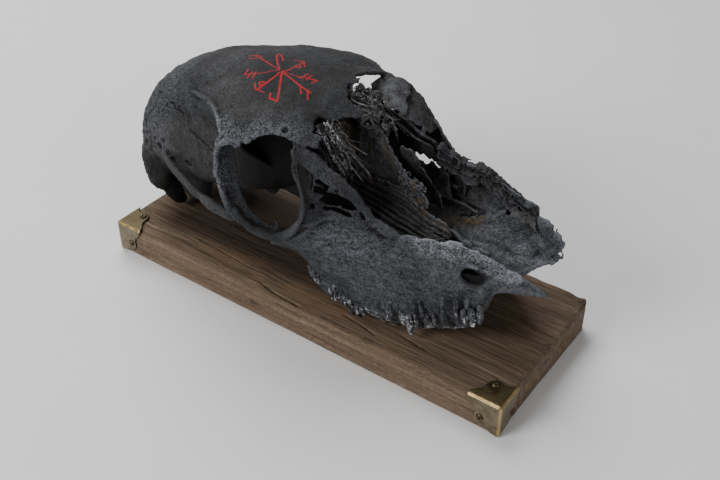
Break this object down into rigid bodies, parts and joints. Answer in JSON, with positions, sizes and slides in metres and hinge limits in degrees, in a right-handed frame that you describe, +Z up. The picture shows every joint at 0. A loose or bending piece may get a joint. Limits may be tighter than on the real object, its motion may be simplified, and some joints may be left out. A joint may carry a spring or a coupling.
{
  "type": "elk skull",
  "caption": "Charred and weathered elk skull without antlers or lower jaw, its nose broken open, lying on an old board with brass corner brackets.",
  "frame": {"origin": "middle of the board's underside", "axes": "+X along the board towards the snout, +Y away from the near side with the brackets, +Z up"},
  "size_m": [0.4146, 0.1866, 0.1957],
  "materials": {
    "blackened_bone": "matt charcoal-black bone, pitted and dusty grey on its ridges",
    "tooth_enamel": "dull stained tooth, half gloss on the broken ribs",
    "weathered_oak": "dark weathered oak with open grooved grain",
    "aged_brass": "dark antique brass with rubbed bright edges",
    "dark_steel": "dark rusted iron screw"
  },
  "bodies": {
    "root": {"skull": "blackened_bone", "board": "weathered_oak", "bracket_front": "aged_brass", "bracket_rear": "aged_brass", "right_tooth_1": "tooth_enamel", "right_tooth_2": "tooth_enamel", "right_tooth_3": "tooth_enamel", "right_tooth_4": "tooth_enamel", "right_tooth_5": "tooth_enamel", "right_tooth_6": "tooth_enamel", "left_tooth_1": "tooth_enamel", "left_tooth_2": "tooth_enamel", "left_tooth_3": "tooth_enamel", "left_tooth_4": "tooth_enamel", "left_tooth_5": "tooth_enamel", "left_tooth_6": "tooth_enamel", "screw_front_1": "dark_steel", "screw_front_2": "dark_steel", "screw_front_3": "dark_steel", "screw_rear_1": "dark_steel", "screw_rear_2": "dark_steel", "screw_rear_3": "dark_steel"}
  },
  "joints": []
}
